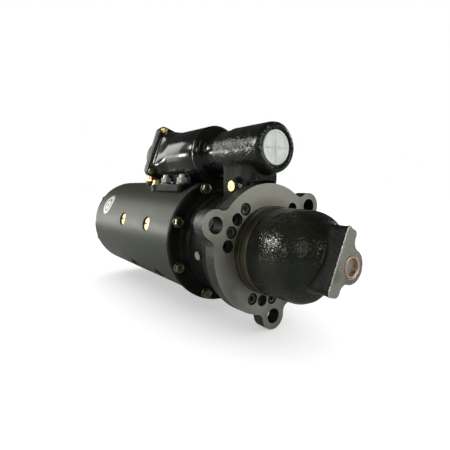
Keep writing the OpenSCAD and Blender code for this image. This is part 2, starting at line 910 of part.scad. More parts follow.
// A long forked arm down to the collar and a short slotted arm up to the plunger
module shift_lever() {
    color("#4a4c4d") translate([pivot[0], 0, pivot[1]]) rotate([0, half_swing, 0]) difference() {
        union() {
            rotate([90, 0, 0]) cylinder(r = 9.5, h = 25, center = true, $fn = 48);
            translate([-4.5, -4, 0]) cube([9, 8, lever_high + 6]);
            translate([-4, -10, -36]) cube([8, 20, 36]);
            difference() {
                intersection() {
                    translate([-4, -33.5, -lever_low - 5]) cube([8, 67, lever_low - 23]);
                    translate([-5, 0, -lever_low]) rotate([0, 90, 0]) cylinder(r = 46, h = 10, $fn = 96);
                }
                translate([-5, -27.5, -lever_low - 6]) cube([10, 55, 6]);
                translate([-5, 0, -lever_low]) rotate([0, 90, 0]) cylinder(r = 27.5, h = 10, $fn = 64);
            }
            for (s = [-1, 1]) {
                translate([0, s * 30.5, -lever_low]) rotate([90, 0, 0])
                    cylinder(r = 6, h = 5.9, center = true, $fn = 48);
                translate([0, s * 24.6, -lever_low]) rotate([90, 0, 0])
                    cylinder(r = pad_r, h = 9.8, center = true, $fn = 48);
            }
        }
        rotate([90, 0, 0]) cylinder(r = 5.45 + fit, h = 60, center = true, $fn = 48);
        hull() {
            for (s = [-1.4, 1.4]) {
                translate([0, 0, lever_high + s]) rotate([90, 0, 0])
                    cylinder(r = 3.3, h = 60, center = true, $fn = 32);
            }
        }
    }
}

// ---------- moving parts of the solenoid ----------

module plunger() {
    color("#b0b3b4") on_solenoid() difference() {
        xcyl(plunger_r, plunger_x0, plunger_x1);
        xcyl(6, -110, plunger_x1 + 1, 48);
        xcyl(4, plunger_x0 - 1, plunger_x0 + 20, 32);
    }
}

// Rod and fork that join the plunger to the top of the lever
module plunger_link() {
    color("#8f9293") on_solenoid() {
        xcyl(5.98, -109, link_x - 12, 48);
        xcyl(11, spring_end_x, spring_end_x + 3, 48);
        difference() {
            translate([link_x - 13, -9, -8]) cube([20, 18, 16]);
            translate([link_x - 9, -4.6, -9]) cube([30, 9.2, 18]);
        }
        translate([link_x, 0, 0]) rotate([90, 0, 0]) cylinder(r = 3, h = 22, center = true, $fn = 32);
    }
}

module contact_rod() {
    color("#a0a3a4") on_solenoid() {
        xcyl(3.98, disc_x - 6, plunger_x0 + 19, 32);
        xcyl(7, disc_x - 5, disc_x - 3, 32);
    }
}

module contact_disc() {
    color("#c0703c") on_solenoid() xring(23, 4, disc_x - 3, disc_x);
}

module return_spring() {
    color("#9a9da0") on_solenoid() for (k = [0:4]) {
        translate([spring_seat_x + 1 + (spring_end_x - spring_seat_x - 2) * k / 4, 0, 0]) rotate([0, 90, 0])
            rotate_extrude($fn = 48) translate([9.5, 0]) circle(r = 0.95, $fn = 16);
    }
}

field_frame();
pole_shoes();
pole_screws();
field_coils();
end_cap();
end_cap_bolts();
brush_plate();
brushes();
brush_springs();
rear_bushing();
centre_plate();
centre_bushing();
lever_housing();
lever_housing_bolts();
lever_housing_washers();
nose_housing();
nose_screws();
nose_bushing();
access_plug();
snap_ring();
lever_pivot();
housing_plug();
label_disc();
solenoid_case();
solenoid_front_ring();
solenoid_winding();
plunger_sleeve();
solenoid_core();
cap_gasket();
solenoid_cap();
cap_screws();
main_terminals();
switch_terminals();
terminal_nuts();
switch_nuts();
solenoid_bracket();
bracket_studs();
bracket_nuts();
bracket_washers();
field_terminal();
terminal_insulator();
motor_strap();
earth_screw();
return_spring();
armature_shaft();
armature_core();
armature_winding();
commutator();
shaft_collar();
clutch_shell();
drive_sleeve();
drive_spring();
shift_collar();
drive_pinion();
shift_lever();
plunger();
plunger_link();
contact_rod();
contact_disc();
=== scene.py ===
import json
import math

import bmesh
import bpy
import numpy as np
from mathutils import Matrix, Vector, noise


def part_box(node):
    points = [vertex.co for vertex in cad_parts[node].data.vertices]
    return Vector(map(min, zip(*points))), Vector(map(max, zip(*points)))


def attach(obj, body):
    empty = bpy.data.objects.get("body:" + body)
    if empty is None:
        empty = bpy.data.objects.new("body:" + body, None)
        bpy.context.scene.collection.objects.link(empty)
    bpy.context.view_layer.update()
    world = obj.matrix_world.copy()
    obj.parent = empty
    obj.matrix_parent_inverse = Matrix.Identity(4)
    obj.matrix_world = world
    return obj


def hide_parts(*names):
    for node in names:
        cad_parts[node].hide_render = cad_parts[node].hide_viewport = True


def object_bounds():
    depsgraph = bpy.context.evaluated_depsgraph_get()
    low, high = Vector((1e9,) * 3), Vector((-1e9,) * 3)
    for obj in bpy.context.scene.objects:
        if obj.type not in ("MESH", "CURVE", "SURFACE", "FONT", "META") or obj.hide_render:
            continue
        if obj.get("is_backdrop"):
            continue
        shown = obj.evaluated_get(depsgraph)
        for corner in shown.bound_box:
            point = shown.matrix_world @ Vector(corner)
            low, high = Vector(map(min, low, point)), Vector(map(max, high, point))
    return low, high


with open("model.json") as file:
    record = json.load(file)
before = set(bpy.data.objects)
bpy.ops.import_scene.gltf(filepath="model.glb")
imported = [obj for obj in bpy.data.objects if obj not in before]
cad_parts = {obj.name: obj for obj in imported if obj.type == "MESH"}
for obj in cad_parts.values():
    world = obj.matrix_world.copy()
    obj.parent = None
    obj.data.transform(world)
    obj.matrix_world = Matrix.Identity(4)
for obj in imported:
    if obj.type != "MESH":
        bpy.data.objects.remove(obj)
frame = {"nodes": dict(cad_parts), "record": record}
cad_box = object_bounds()
nodes = frame["nodes"]
record = frame["record"]
slot_of = {row["node"]: row["material_slot"] for row in record["subparts"]}
body_of = {n: b for b, names in record["behaviour"]["bodies"].items() for n in names}

MM = 0.001
SOL_Z = sum(c[2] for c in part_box("solenoid_front_ring")) / 2   # the solenoid's axis
SOL_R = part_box("solenoid_front_ring")[1][1]
FIELD_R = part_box("field_frame")[1][1]
NOSE_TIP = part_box("nose_housing")[1][0]
X_AXIS = Vector((1, 0, 0))
LOBE = math.radians(156)   # direction of the first mounting lobe, from +Y towards +Z
CLOSED_SIDE = Vector((0, math.cos(LOBE), math.sin(LOBE)))  # flat of the end boss

# ---------------------------------------------------------------- camera, lights, floor


def place_camera():
    """Close and slightly above the shaft, from the nose's side."""
    azimuth, elevation = math.radians(54.0), math.radians(6.397)
    back = Vector((math.sin(azimuth) * math.cos(elevation),
                   -math.cos(azimuth) * math.cos(elevation),
                   math.sin(elevation)))
    cam = bpy.data.objects.new("camera", bpy.data.cameras.new("camera"))
    cam.data.sensor_width = 36.0
    cam.data.lens = 29.2
    cam.data.clip_start = 0.01
    cam.location = (0.27514, -0.25611, 0.06754)
    cam.rotation_euler = back.to_track_quat("Z", "Y").to_euler()
    bpy.context.scene.collection.objects.link(cam)
    bpy.context.scene.camera = cam


def area_light(name, place, target, size, power, colour=(0.98, 1.0, 0.93)):
    light = bpy.data.lights.new(name, "AREA")
    light.shape = "RECTANGLE"
    light.size, light.size_y = size
    light.energy = power
    light.color = colour
    lamp = bpy.data.objects.new(name, light)
    lamp.location = place
    aim = Vector(place) - Vector(target)
    lamp.rotation_euler = aim.to_track_quat("Z", "Y").to_euler()
    bpy.context.scene.collection.objects.link(lamp)
    return lamp


def studio_world():
    """A white room to look at, and a dimmer one to light and reflect by."""
    world = bpy.data.worlds.new("studio")
    world.use_nodes = True
    tree = world.node_tree
    tree.nodes.clear()
    seen, lit = tree.nodes.new("ShaderNodeBackground"), tree.nodes.new("ShaderNodeBackground")
    seen.inputs["Color"].default_value = (1, 1, 1, 1)
    lit.inputs["Color"].default_value = (0.95, 1.0, 0.93, 1)
    lit.inputs["Strength"].default_value = 0.07
    pick = tree.nodes.new("ShaderNodeMixShader")
    path = tree.nodes.new("ShaderNodeLightPath")
    out = tree.nodes.new("ShaderNodeOutputWorld")
    tree.links.new(path.outputs["Is Camera Ray"], pick.inputs[0])
    tree.links.new(lit.outputs[0], pick.inputs[1])
    tree.links.new(seen.outputs[0], pick.inputs[2])
    tree.links.new(pick.outputs[0], out.inputs["Surface"])
    bpy.context.scene.world = world


def floor_wash(floor):
    """An even light for the floor alone, so that it stays pale to the horizon."""
    light = bpy.data.lights.new("floor_wash", "SUN")
    light.energy = 2.6
    light.angle = math.radians(150)
    lamp = bpy.data.objects.new("floor_wash", light)
    bpy.context.scene.collection.objects.link(lamp)
    only = bpy.data.collections.new("floor_only")
    only.objects.link(floor)
    lamp.light_linking.receiver_collection = only


def studio():
    studio_world()
    bpy.context.scene.view_settings.view_transform = "Standard"
    lamps = [
        area_light("left_tall", (-1.34, -0.49, 0.33), (-0.08, 0, 0.03), (0.30, 0.90), 4),
        area_light("left_low", (-1.20, -0.82, 0.15), (-0.08, 0, 0.03), (0.26, 0.12), 3.2),
        area_light("spark", (-0.91, -0.98, 0.62), (0, 0, 0.03), (0.24, 0.24), 9),
        area_light("near_side", (-0.15, -1.45, 0.48), (-0.05, 0, 0.02), (0.30, 0.25), 2.2),
        area_light("right", (1.25, 0.45, 0.42), (0.02, 0, 0.02), (0.45, 0.35), 5),
        area_light("back", (0.25, 1.45, 0.55), (-0.1, 0, 0.03), (0.6, 0.4), 6),
        area_light("rear", (-1.6, 0.6, 0.05), (-0.35, 0, 0.02), (0.5, 0.25), 5),
        area_light("fill", (0.95, -1.0, 0.75), (-0.05, 0, 0.02), (0.8, 0.8), 3.4),
    ]
    low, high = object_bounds()
    half = 6.0
    z = low[2] - 0.0005
    mesh = bpy.data.meshes.new("floor")
    mesh.from_pydata([(-half, -half, z), (half, -half, z), (half, half, z), (-half, half, z)],
                     [], [(0, 1, 2, 3)])
    floor = bpy.data.objects.new("floor", mesh)
    pale = Shade("floor")
    pale.rough(0.9)
    pale.set("Specular IOR Level", 0.1)
    seen = pale.tree.nodes.new("ShaderNodeLightPath").outputs["Is Camera Ray"]
    paper = pale.blend(pale.noise(3, 2), (0.93, 0.93, 0.93), (0.97, 0.97, 0.97))
    pale.colour(pale.blend(seen, (0.58, 0.59, 0.57), paper))
    pale.set("Emission Color", (1.0, 1.0, 1.0))
    pale.set("Emission Strength", pale.maths("MULTIPLY", seen, 0.4))
    floor.data.materials.append(pale.mat)
    bpy.context.scene.collection.objects.link(floor)
    floor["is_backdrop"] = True
    floor_wash(floor)
    others = bpy.data.collections.new("all_but_floor")
    others.objects.link(floor)
    others.collection_objects[0].light_linking.link_state = "EXCLUDE"
    for lamp in lamps:
        lamp.light_linking.receiver_collection = others


# ---------------------------------------------------------------- materials


class Shade:
    """A procedural material, laid out in the object's own space."""

    def __init__(self, name, metal=0.0):
        self.mat = bpy.data.materials.new(name)
        self.mat.use_nodes = True
        self.tree = self.mat.node_tree
        self.bsdf = self.tree.nodes["Principled BSDF"]
        self.bsdf.inputs["Metallic"].default_value = metal
        self.place = self.tree.nodes.new("ShaderNodeTexCoord").outputs["Object"]
        self.last_bump = None

    def link(self, value, socket):
        if isinstance(value, bpy.types.NodeSocket):
            self.tree.links.new(value, socket)
        elif isinstance(value, tuple):
            socket.default_value = (*value, 1) if len(value) == 3 else value
        else:
            socket.default_value = value

    def set(self, socket, value):
        self.link(value, self.bsdf.inputs[socket])

    def colour(self, value):
        self.set("Base Color", value)

    def rough(self, value):
        self.set("Roughness", value)

    def noise(self, scale, detail=3.0, stretch=(1, 1, 1), shift=0.0, roughness=0.55):
        """Fractal noise; scale is in cycles per metre."""
        move = self.tree.nodes.new("ShaderNodeMapping")
        move.inputs["Scale"].default_value = stretch
        move.inputs["Location"].default_value = (shift, shift * 0.7, -shift)
        self.tree.links.new(self.place, move.inputs["Vector"])
        tex = self.tree.nodes.new("ShaderNodeTexNoise")
        tex.inputs["Scale"].default_value = scale
        tex.inputs["Detail"].default_value = detail
        tex.inputs["Roughness"].default_value = roughness
        self.tree.links.new(move.outputs[0], tex.inputs["Vector"])
        return tex.outputs["Fac"]

    def cells(self, scale, shift=0.0):
        move = self.tree.nodes.new("ShaderNodeMapping")
        move.inputs["Location"].default_value = (shift, shift, shift)
        self.tree.links.new(self.place, move.inputs["Vector"])
        tex = self.tree.nodes.new("ShaderNodeTexVoronoi")
        tex.inputs["Scale"].default_value = scale
        self.tree.links.new(move.outputs[0], tex.inputs["Vector"])
        return tex.outputs["Distance"]

    def maths(self, kind, a, b=0.0, clamp=False):
        node = self.tree.nodes.new("ShaderNodeMath")
        node.operation = kind
        node.use_clamp = clamp
        self.link(a, node.inputs[0])
        self.link(b, node.inputs[1])
        return node.outputs[0]

    def axis(self, name):
        parts = self.tree.nodes.new("ShaderNodeSeparateXYZ")
        self.tree.links.new(self.place, parts.inputs[0])
        return parts.outputs[name]

    def radius(self, y=0.0, z=0.0):
        """Distance from a line along X, in metres."""
        dy = self.maths("SUBTRACT", self.axis("Y"), y)
        dz = self.maths("SUBTRACT", self.axis("Z"), z)
        return self.maths("SQRT", self.maths("ADD", self.maths("MULTIPLY", dy, dy),
                                             self.maths("MULTIPLY", dz, dz)))

    def ramp(self, value, start, end):
        """0 below start, 1 above end, smooth between."""
        node = self.tree.nodes.new("ShaderNodeMapRange")
        node.interpolation_type = "SMOOTHSTEP"
        self.link(value, node.inputs["Value"])
        node.inputs["From Min"].default_value = start
        node.inputs["From Max"].default_value = end
        return node.outputs["Result"]

    def blend(self, factor, a, b):
        """Colour a where factor is 0, b where it is 1."""
        node = self.tree.nodes.new("ShaderNodeMix")
        node.data_type = "RGBA"
        self.link(factor, node.inputs["Factor"])
        colours = [s for s in node.inputs if s.type == "RGBA"]
        self.link(a, colours[0])
        self.link(b, colours[1])
        return [s for s in node.outputs if s.type == "RGBA"][0]

    def between(self, factor, low, high):
        """A number from low to high."""
        return self.maths("ADD", low, self.maths("MULTIPLY", factor, high - low))

    def edges(self, radius=0.0012, gain=6.0):
        """1 along sharp edges, 0 on flats."""
        bevel = self.tree.nodes.new("ShaderNodeBevel")
        bevel.samples = 4
        bevel.inputs["Radius"].default_value = radius
        normal = self.tree.nodes.new("ShaderNodeNewGeometry").outputs["Normal"]
        dot = self.tree.nodes.new("ShaderNodeVectorMath")
        dot.operation = "DOT_PRODUCT"
        self.tree.links.new(bevel.outputs[0], dot.inputs[0])
        self.tree.links.new(normal, dot.inputs[1])
        return self.maths("MULTIPLY", self.maths("SUBTRACT", 1.0, dot.outputs["Value"]), gain, True)

    def bump(self, height, distance, strength=1.0):
        node = self.tree.nodes.new("ShaderNodeBump")
        node.inputs["Strength"].default_value = strength
        node.inputs["Distance"].default_value = distance
        self.link(height, node.inputs["Height"])
        if self.last_bump:
            self.tree.links.new(self.last_bump, node.inputs["Normal"])
        self.last_bump = node.outputs[0]
        self.tree.links.new(self.last_bump, self.bsdf.inputs["Normal"])


def frame_paint():
    """Satin graphite enamel on the field frame, with a faint orange peel."""
    s = Shade("frame_paint")
    cloud = s.noise(9, 4)
    streak = s.noise(30, 3, (0.12, 1, 1), 4)
    tone = s.blend(cloud, (0.036, 0.039, 0.031), (0.054, 0.057, 0.045))
    tone = s.blend(s.ramp(streak, 0.35, 0.8), tone, (0.042, 0.044, 0.035))
    worn = s.maths("MULTIPLY", s.edges(0.0010, 3.0), s.ramp(s.noise(160, 3), 0.45, 0.62))
    s.colour(s.blend(worn, tone, (0.30, 0.29, 0.27)))
    s.rough(s.between(s.noise(45, 4), 0.31, 0.42))
    s.set("Specular IOR Level", 0.18)
    s.bump(s.noise(420, 2), 0.00010, 0.5)
    s.bump(s.noise(1500, 2), 0.00004, 0.35)
    return s.mat


def black_paint():
    """Gloss black enamel over smooth steel."""
    s = Shade("black_paint")
    dust = s.ramp(s.noise(260, 5), 0.62, 0.78)
    s.colour(s.blend(dust, (0.0065, 0.0075, 0.0068), (0.022, 0.022, 0.018)))
    s.rough(s.between(s.noise(38, 4), 0.11, 0.22))
    s.set("Specular IOR Level", 0.26)
    s.set("Coat Weight", 0.10)
    s.set("Coat Roughness", 0.06)
    s.bump(s.noise(240, 2), 0.00012, 0.35)
    s.bump(s.noise(900, 2), 0.00003, 0.3)
    return s.mat


def cast_gloss(name, tint, deep, rough_low, rough_high, lumps=1.0):
    """Thick black paint over a sand casting, pitted; bare iron on the nose's end face."""
    s = Shade(name)
    patch = s.ramp(s.noise(28, 5), 0.42, 0.68)
    chips = s.maths("MULTIPLY", s.ramp(s.noise(420, 3), 0.40, 0.58), 0.35 * MM)
    bare = s.ramp(s.maths("ADD", s.axis("X"), chips), NOSE_TIP - 0.60 * MM, NOSE_TIP - 0.48 * MM)
    iron = s.blend(s.ramp(s.noise(55, 5), 0.40, 0.70), (0.33, 0.33, 0.30), (0.21, 0.205, 0.175))
    iron = s.blend(s.ramp(s.axis("X"), NOSE_TIP - 0.35 * MM, NOSE_TIP - 0.22 * MM), (0.66, 0.66, 0.62), iron)
    s.colour(s.blend(bare, s.blend(patch, deep, tint), iron))
    s.set("Metallic", s.maths("MULTIPLY", bare, 0.8))
    paint = s.between(s.noise(90, 4), rough_low, rough_high)
    s.rough(s.maths("ADD", s.maths("MULTIPLY", paint, s.maths("SUBTRACT", 1.0, bare)),
                    s.maths("MULTIPLY", bare, 0.45)))
    s.set("Specular IOR Level", 0.28)
    s.set("Coat Weight", 0.06)
    s.set("Coat Roughness", 0.12)
    s.bump(s.noise(240, 1, roughness=0.4), 0.00034 * lumps, 0.7)
    s.bump(s.noise(480, 1, roughness=0.4), 0.00042 * lumps, 0.9)
    pits = s.ramp(s.cells(420), 0.08, 0.30)
    s.bump(pits, 0.00016 * lumps, 0.7)
    return s


def cast_paint():
    return cast_gloss("cast_paint", (0.012, 0.0135, 0.0115), (0.0050, 0.0064, 0.0056), 0.13, 0.24).mat


def dome_paint():
    """Painted nose casting, with an oily brown cast where the coat is thin."""
    s = cast_gloss("dome_paint", (0.022, 0.0235, 0.012), (0.0072, 0.0095, 0.0084), 0.13, 0.24, 1.2)
    return s.mat


def rough_cast():
    """As-cast flats where the paint has sunk in: black, grainy and nearly dull; in the nose flange's
    mounting holes it is painted shade.
    """
    s = cast_gloss("rough_cast", (0.016, 0.0175, 0.0145), (0.006, 0.0074, 0.0064), 0.42, 0.58)
    s.set("Specular IOR Level", 0.09)
    s.set("Coat Weight", 0.0)
    return s.mat


def sand_cast():
    """The unpainted edge of the mounting flange: grey sand-cast skin."""
    s = cast_gloss("sand_cast", (0.060, 0.062, 0.053), (0.022, 0.023, 0.019), 0.36, 0.52, 1.3)
    s.set("Specular IOR Level", 0.4)
    s.set("Coat Weight", 0.0)
    return s.mat


def machined_iron():
    """Turned cast iron: a fine lathe grain about the shaft, oil stains, painted shade darkening the face
    towards the pilot, and a painted highlight along the edges.
    """
    s = Shade("machined_iron", 0.85)
    ring = s.radius()
    grain = s.maths("SINE", s.maths("MULTIPLY", ring, 9000.0))
    stain = s.ramp(s.noise(24, 5), 0.40, 0.72)
    tone = s.blend(stain, (0.36, 0.355, 0.325), (0.22, 0.212, 0.178))
    speck = s.ramp(s.noise(900, 3), 0.60, 0.75)
    tone = s.blend(s.maths("MULTIPLY", speck, 0.6), tone, (0.12, 0.115, 0.10))
    # Painted shade: the face turns darker and browner towards the foot of the pilot.
    inner = s.ramp(ring, 0.060, 0.046)
    tone = s.blend(s.maths("MULTIPLY", inner, 0.45), tone, (0.145, 0.13, 0.098))
    # Painted highlight: the sharp edges are coloured bright.
    s.colour(s.blend(s.edges(0.0009, 5.0), tone, (0.62, 0.61, 0.57)))
    s.rough(s.between(s.noise(70, 4), 0.42, 0.58))
    s.bump(grain, 0.000012, 0.6)
    s.bump(s.noise(1300, 3), 0.00005, 0.5)
    return s.mat


def oily_iron():
    """The turned pilot and band behind it, dark with oil and handling, with a painted highlight along the
    edges.
    """
    s = Shade("oily_iron", 0.75)
    tone = s.blend(s.ramp(s.noise(35, 5), 0.35, 0.7), (0.105, 0.092, 0.060), (0.055, 0.050, 0.034))
    # Painted highlight: the sharp edges are coloured bright.
    s.colour(s.blend(s.edges(0.0007, 6.0), tone, (0.46, 0.43, 0.34)))
    s.rough(s.between(s.noise(120, 4), 0.28, 0.46))
    s.bump(s.maths("SINE", s.maths("MULTIPLY", s.axis("X"), 14000.0)), 0.00001, 0.5)
    return s.mat


def plated(name, pale, warm, rough=0.3, tarnish=(0.12, 0.10, 0.06), weight=0.95, rim=None):
    """Zinc plate: cloudy, slightly iridescent, with darker tarnish spots."""
    s = Shade(name, weight)
    tone = s.blend(s.ramp(s.noise(260, 4), 0.35, 0.7), pale, warm)
    spots = s.ramp(s.noise(700, 4, shift=3), 0.58, 0.74)
    tone = s.blend(s.maths("MULTIPLY", spots, 0.7), tone, tarnish)
    # Painted highlight: the sharp edges are coloured in rim, or brighter than pale.
    s.colour(s.blend(s.edges(0.0005, 5.0), tone, rim or tuple(min(1.0, c * 1.35) for c in pale)))
    s.rough(s.between(s.noise(480, 3), rough * 0.75, rough * 1.35))
    s.bump(s.noise(2200, 2), 0.00002, 0.5)
    return s.mat


def metal(name, tone, dark, rough=0.35, grain=0.00003, weight=1.0, scale=420, rim=None):
    """Plain metal with handling marks and a painted highlight along its edges, in rim's colour when that is
    given.
    """
    s = Shade(name, weight)
    base = s.blend(s.ramp(s.noise(scale * 0.2, 5), 0.35, 0.75), tone, dark)
    # Painted highlight: the sharp edges are coloured bright, in rim or in a lighter tone.
    s.colour(s.blend(s.edges(0.0006, 5.0), base, rim or tuple(min(1.0, c * 1.6) for c in tone)))
    s.rough(s.between(s.noise(scale, 4), rough * 0.7, rough * 1.4))
    s.bump(s.noise(scale * 4, 3), grain, 0.6)
    return s.mat


def moulded(name, tone, dark, rough=0.45):
    """Moulded thermoset: fine grain, mottled filler."""
    s = Shade(name)
    s.colour(s.blend(s.ramp(s.noise(1100, 5), 0.4, 0.7), tone, dark))
    s.rough(s.between(s.noise(200, 3), rough * 0.8, rough * 1.25))
    s.bump(s.noise(1800, 3), 0.00004, 0.6)
    return s.mat


def laminations():
    """A stack of thin electrical steel sheets along the shaft."""
    s = Shade("laminations", 0.85)
    sheets = s.maths("SINE", s.maths("MULTIPLY", s.axis("X"), 6.2832 / 0.0011))
    line = s.ramp(sheets, 0.2, 0.9)
    tone = s.blend(s.noise(120, 4), (0.10, 0.10, 0.11), (0.19, 0.18, 0.17))
    s.colour(s.blend(line, tone, (0.045, 0.045, 0.048)))
    s.rough(s.between(s.noise(400, 3), 0.38, 0.6))
    s.bump(sheets, 0.00008, 0.5)
    return s.mat


def winding():
    """Varnished copper."""
    s = Shade("winding", 0.55)
    s.colour(s.blend(s.ramp(s.noise(300, 5), 0.35, 0.7), (0.33, 0.11, 0.035), (0.13, 0.045, 0.018)))
    s.rough(s.between(s.noise(500, 3), 0.25, 0.42))
    s.set("Coat Weight", 0.6)
    s.set("Coat Roughness", 0.15)
    s.bump(s.noise(900, 3), 0.00012, 0.7)
    return s.mat


def bush_bronze():
    """Sintered bronze, coppery, with a bright painted highlight along the edges of its turned rim."""
    s = Shade("bush_bronze", 0.95)
    tone = s.blend(s.ramp(s.noise(500, 4), 0.35, 0.7), (0.80, 0.52, 0.37), (0.55, 0.33, 0.22))
    # Painted highlight: the sharp edges are coloured bright copper.
    s.colour(s.blend(s.edges(0.0005, 5.0), tone, (0.98, 0.74, 0.56)))
    s.rough(s.between(s.noise(900, 3), 0.25, 0.42))
    s.bump(s.noise(2400, 3), 0.00004, 0.6)
    return s.mat


def plug_steel():
    """Bright zinc-plated pressing."""
    s = Shade("plug_steel", 0.15)
    tone = s.blend(s.ramp(s.noise(160, 5), 0.35, 0.7), (0.95, 0.98, 0.97), (0.84, 0.88, 0.86))
    s.colour(s.blend(s.ramp(s.noise(620, 4, shift=2), 0.60, 0.76), tone, (0.52, 0.56, 0.55)))
    s.rough(s.between(s.noise(300, 4), 0.30, 0.5))
    s.bump(s.noise(1500, 3), 0.00004, 0.6)
    return s.mat


def label_print():
    """A silvered metal foil label, scuffed, printed with a plain target of rings."""
    s = Shade("label_print", 0.3)
    tone = s.blend(s.ramp(s.noise(210, 5), 0.4, 0.75), (0.60, 0.63, 0.60), (0.48, 0.51, 0.48))
    low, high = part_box("label_disc")
    along = s.maths("SUBTRACT", s.axis("X"), (low[0] + high[0]) / 2)
    height = s.maths("SUBTRACT", s.axis("Z"), (low[2] + high[2]) / 2)
    height = s.maths("MULTIPLY", height, (high[0] - low[0]) / (high[2] - low[2]))
    reach = s.maths("SQRT", s.maths("ADD", s.maths("MULTIPLY", along, along),
                                    s.maths("MULTIPLY", height, height)))
    radius = (high[0] - low[0]) / 2
    off = s.maths("ABSOLUTE", s.maths("SUBTRACT", reach, radius * 0.55))
    ring = s.ramp(off, radius * 0.13, radius * 0.09)
    ring = s.maths("MAXIMUM", ring, s.ramp(reach, radius * 0.20, radius * 0.16))
    border = s.ramp(reach, radius * 0.86, radius * 0.90)
    border = s.maths("MULTIPLY", border, s.ramp(reach, radius * 0.98, radius * 0.94))
    printed = s.maths("MAXIMUM", ring, border)
    s.colour(s.blend(s.maths("MULTIPLY", printed, 0.85), tone, (0.035, 0.045, 0.04)))
    s.rough(s.between(s.noise(400, 3), 0.3, 0.48))
    s.bump(s.noise(1400, 2), 0.00003, 0.5)
    return s.mat


MATERIALS = {
    "frame_paint": frame_paint(),
    "black_paint": black_paint(),
    "cast_paint": cast_paint(),
    "dome_paint": dome_paint(),
    "rough_cast": rough_cast(),
    "sand_cast": sand_cast(),
    "machined_iron": machined_iron(),
    "oily_iron": oily_iron(),
    "steel": metal("steel", (0.46, 0.46, 0.46), (0.28, 0.275, 0.26), 0.32),
    # The rim colours below are painted highlights along the edges.
    "dark_steel": metal("dark_steel", (0.030, 0.033, 0.034), (0.055, 0.056, 0.052), 0.30, weight=0.7,
                        rim=(0.55, 0.56, 0.54)),
    "yellow_zinc": plated("yellow_zinc", (0.50, 0.41, 0.20), (0.34, 0.28, 0.14)),
    "olive_zinc": plated("olive_zinc", (0.28, 0.255, 0.165), (0.15, 0.135, 0.085), 0.32,
                         (0.05, 0.045, 0.03), rim=(0.78, 0.74, 0.58)),
    "silver_zinc": plated("silver_zinc", (0.82, 0.85, 0.83), (0.66, 0.69, 0.66), 0.24,
                          (0.30, 0.30, 0.27), 0.5),
    "bronze": bush_bronze(),
    "brass": metal("brass", (0.58, 0.44, 0.19), (0.33, 0.25, 0.11), 0.3),
    "copper": metal("copper", (0.72, 0.33, 0.17), (0.38, 0.15, 0.075), 0.34),
    "winding": winding(),
    "moulding": moulded("moulding", (0.014, 0.013, 0.012), (0.030, 0.022, 0.016)),
    "carbon": metal("carbon", (0.030, 0.029, 0.028), (0.060, 0.056, 0.052), 0.5, weight=0.2),
    "gasket": moulded("gasket", (0.05, 0.036, 0.022), (0.09, 0.065, 0.04), 0.8),
    "laminations": laminations(),
    "label": label_print(),
    "plug_steel": plug_steel(),
}

# ---------------------------------------------------------------- mesh tools


def soften(mesh, angle=38):
    """Smooth shading, with creases kept where faces meet at more than angle."""
    bm = bmesh.new()
    bm.from_mesh(mesh)
    bmesh.ops.recalc_face_normals(bm, faces=bm.faces)
    limit = math.radians(angle)
    for edge in bm.edges:
        edge.smooth = len(edge.link_faces) == 2 and edge.calc_face_angle(0) < limit
    for face in bm.faces:
        face.smooth = True
    bm.to_mesh(mesh)
    bm.free()


def piece(name, verts, faces, material, like, replaces=True, angle=38):
    """A finished piece that rides with CAD node like, and by default stands for it."""
    mesh = bpy.data.meshes.new(name)
    mesh.from_pydata([tuple(v) for v in verts], [], faces)
    mesh.validate()
    soften(mesh, angle)
    return place_piece(name, mesh, material, like, replaces)


def place_piece(name, mesh, material, like, replaces=True):
    obj = bpy.data.objects.new(name, mesh)
    mesh.materials.append(MATERIALS[material])
    bpy.context.scene.collection.objects.link(obj)
    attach(obj, body_of[like])
    if replaces:
        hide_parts(like)
    return obj


def solids(name):
    """The separate solids of a CAD node, each as an array of its points."""
    bm = bmesh.new()
    bm.from_mesh(nodes[name].data)
    bmesh.ops.remove_doubles(bm, verts=bm.verts, dist=1e-6)
    left, groups = set(bm.verts), []
    while left:
        todo, group = [left.pop()], []
        while todo:
            vert = todo.pop()
            group.append(vert.co.copy())
            for edge in vert.link_edges:
                other = edge.other_vert(vert)
                if other in left:
                    left.remove(other)
                    todo.append(other)
        groups.append(np.array(group))
    bm.free()
    return sorted(groups, key=lambda g: tuple(np.round(g.mean(axis=0), 5)))


def middle(points):
    return Vector((points.min(axis=0) + points.max(axis=0)) / 2)


def stand(origin, axis, spin=0.0):
    """A matrix whose Z runs along axis from origin."""
    turn = Vector(axis).to_track_quat("Z", "Y").to_matrix().to_4x4()
    return Matrix.Translation(origin) @ turn @ Matrix.Rotation(spin, 4, "Z")


def rings_to_mesh(rings, closed=True):
    """Verts and faces of a skin over rings of equal length; None ends are capped by a point."""
    verts, faces, starts = [], [], []
    for ring in rings:
        starts.append((len(verts), len(ring)))
        verts.extend(ring)
    for (a, na), (b, nb) in zip(starts, starts[1:]):
        count = max(na, nb)
        for i in range(count):
            j = (i + 1) % count
            if na == 1:
                faces.append((a, b + j, b + i))
            elif nb == 1:
                faces.append((a + i, a + j, b))
            else:
                faces.append((a + i, a + j, b + j, b + i))
    if closed:
        a, b = starts[-1][0], starts[0][0]
        count = starts[0][1]
        faces += [(a + i, a + (i + 1) % count, b + (i + 1) % count, b + i) for i in range(count)]
    return verts, faces


def circle(radius, z, count=48):
    """A ring of points; radius is a number or a function of the angle."""
    if radius == 0:
        return [Vector((0, 0, z))]
    out = []
    for i in range(count):
        a = 2 * math.pi * i / count
        r = radius(a) if callable(radius) else radius
        height = z(a) if callable(z) else z
        out.append(Vector((r * math.cos(a), r * math.sin(a), height)))
    return out


def hexagon(across):
    """Polar radius of a hexagon with slightly softened corners."""
    def radius(angle):
        local = (angle + math.pi / 6) % (math.pi / 3) - math.pi / 6
        return min(across / 2 / math.cos(local), across / 2 * 1.135)
    return radius


